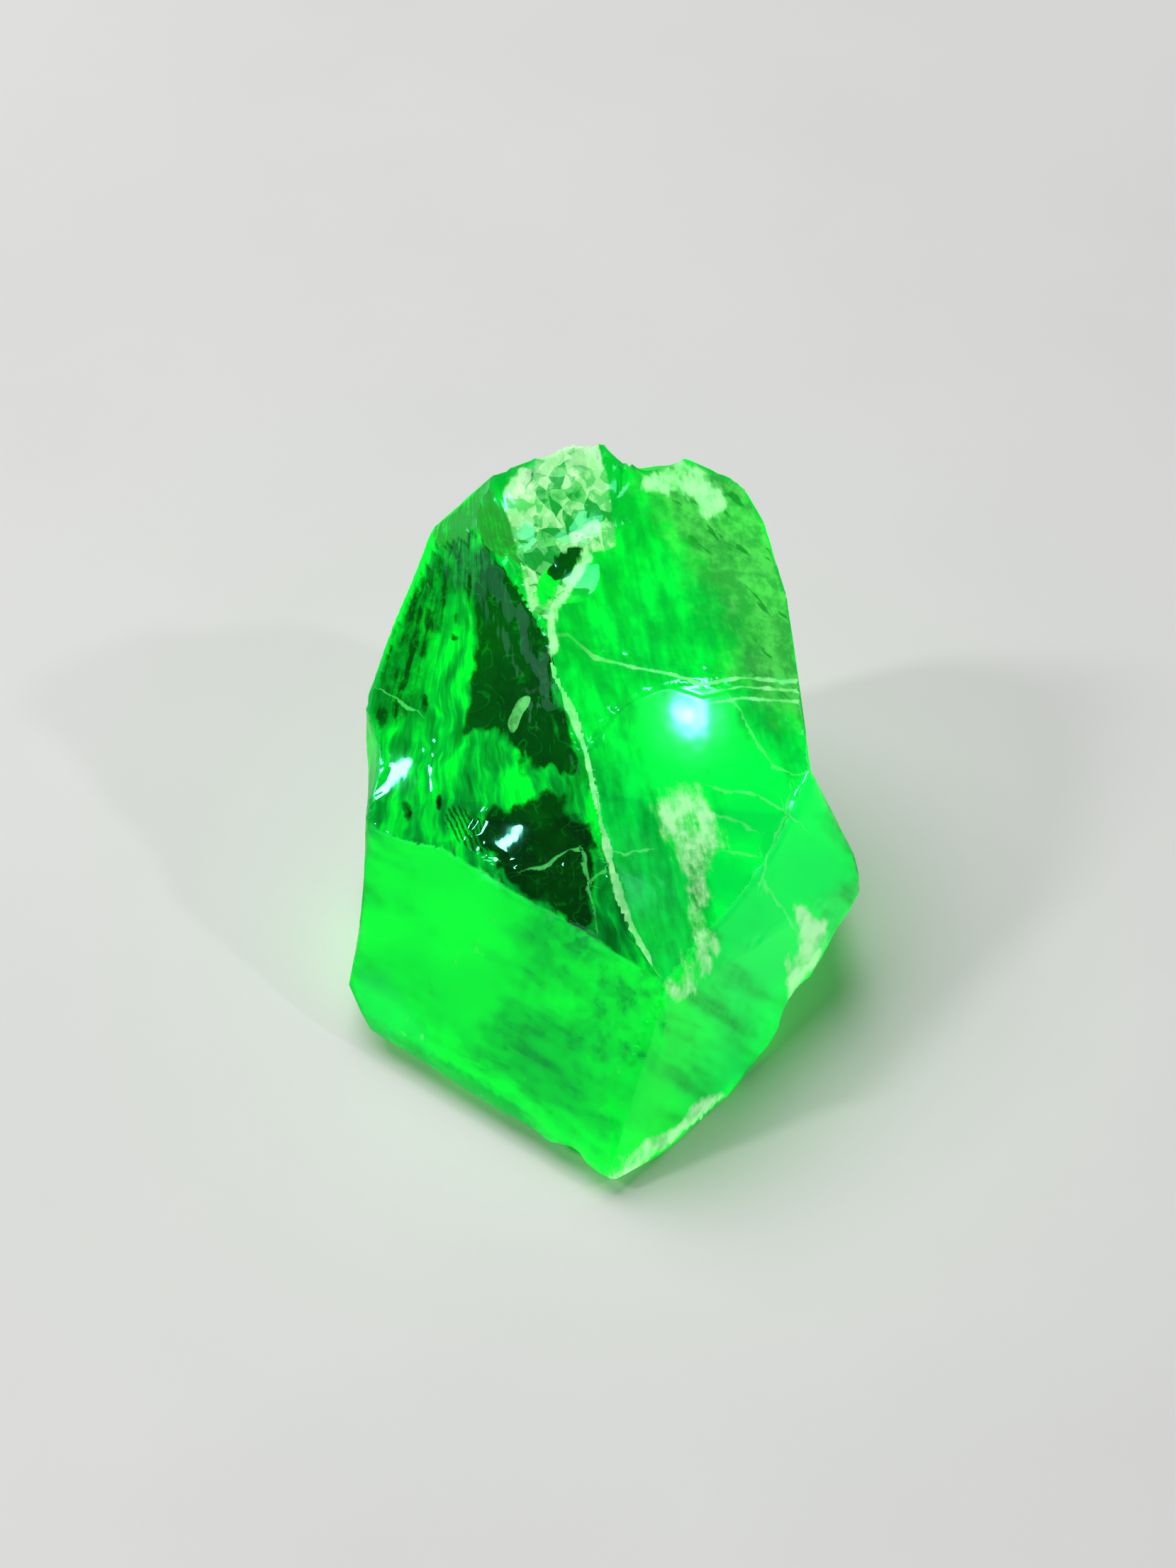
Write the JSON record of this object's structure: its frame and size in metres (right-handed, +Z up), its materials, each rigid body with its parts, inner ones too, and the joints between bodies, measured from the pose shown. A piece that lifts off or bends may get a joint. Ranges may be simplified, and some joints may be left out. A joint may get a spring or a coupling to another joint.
{
  "type": "raw tsavorite garnet",
  "caption": "Broken piece of clear green garnet with flat and shell-shaped breaks, a worn ridge and a chipped crest, lying on a flat break.",
  "frame": {"origin": "centre of the outline, on the flat break that the stone rests on", "axes": "+Z up; -Y towards the low toe where the two lower faces meet, which the sloping top leans away from; +X towards the side lobe"},
  "size_m": [0.0116, 0.0148, 0.0104],
  "materials": {
    "garnet": "clear, with glossy and matte breaks"
  },
  "bodies": {
    "root": {"raw_tsavorite_garnet": "garnet"}
  },
  "joints": []
}
